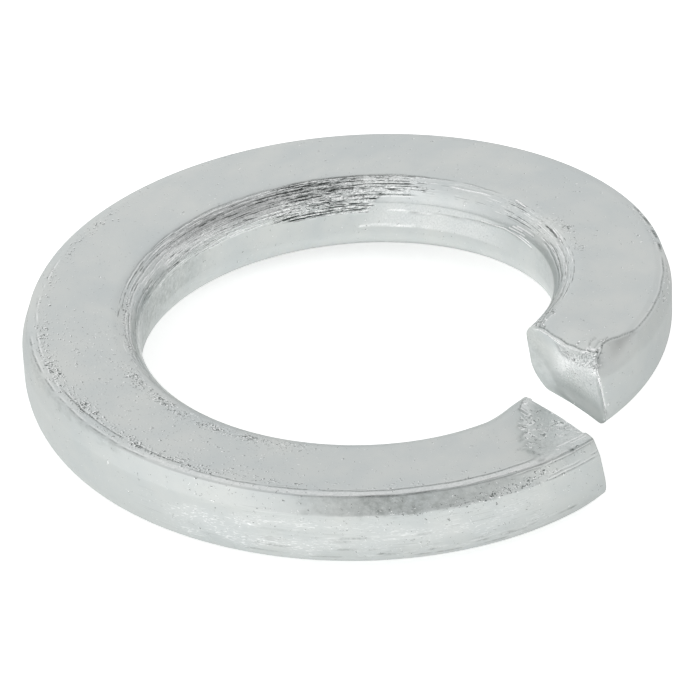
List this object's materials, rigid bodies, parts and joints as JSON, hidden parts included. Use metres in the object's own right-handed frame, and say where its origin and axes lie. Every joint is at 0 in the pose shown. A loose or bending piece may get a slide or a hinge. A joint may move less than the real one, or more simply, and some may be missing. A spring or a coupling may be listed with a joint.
{
  "type": "spring lock washer",
  "caption": "Split spring lock washer: one turn of flat rolled wire sprung into a shallow helix, zinc plated, with sheared biting ends.",
  "frame": {"origin": "on the bore's axis, at the height of the lowest point of the lower end", "axes": "+Z along the bore's axis towards the bolt head or nut; the split lies 37.8 degrees clockwise of +X seen from above"},
  "size_m": [0.032, 0.032, 0.0079],
  "materials": {
    "zinc_plate": "satin"
  },
  "bodies": {
    "root": {"lock_washer": "zinc_plate"}
  },
  "joints": []
}
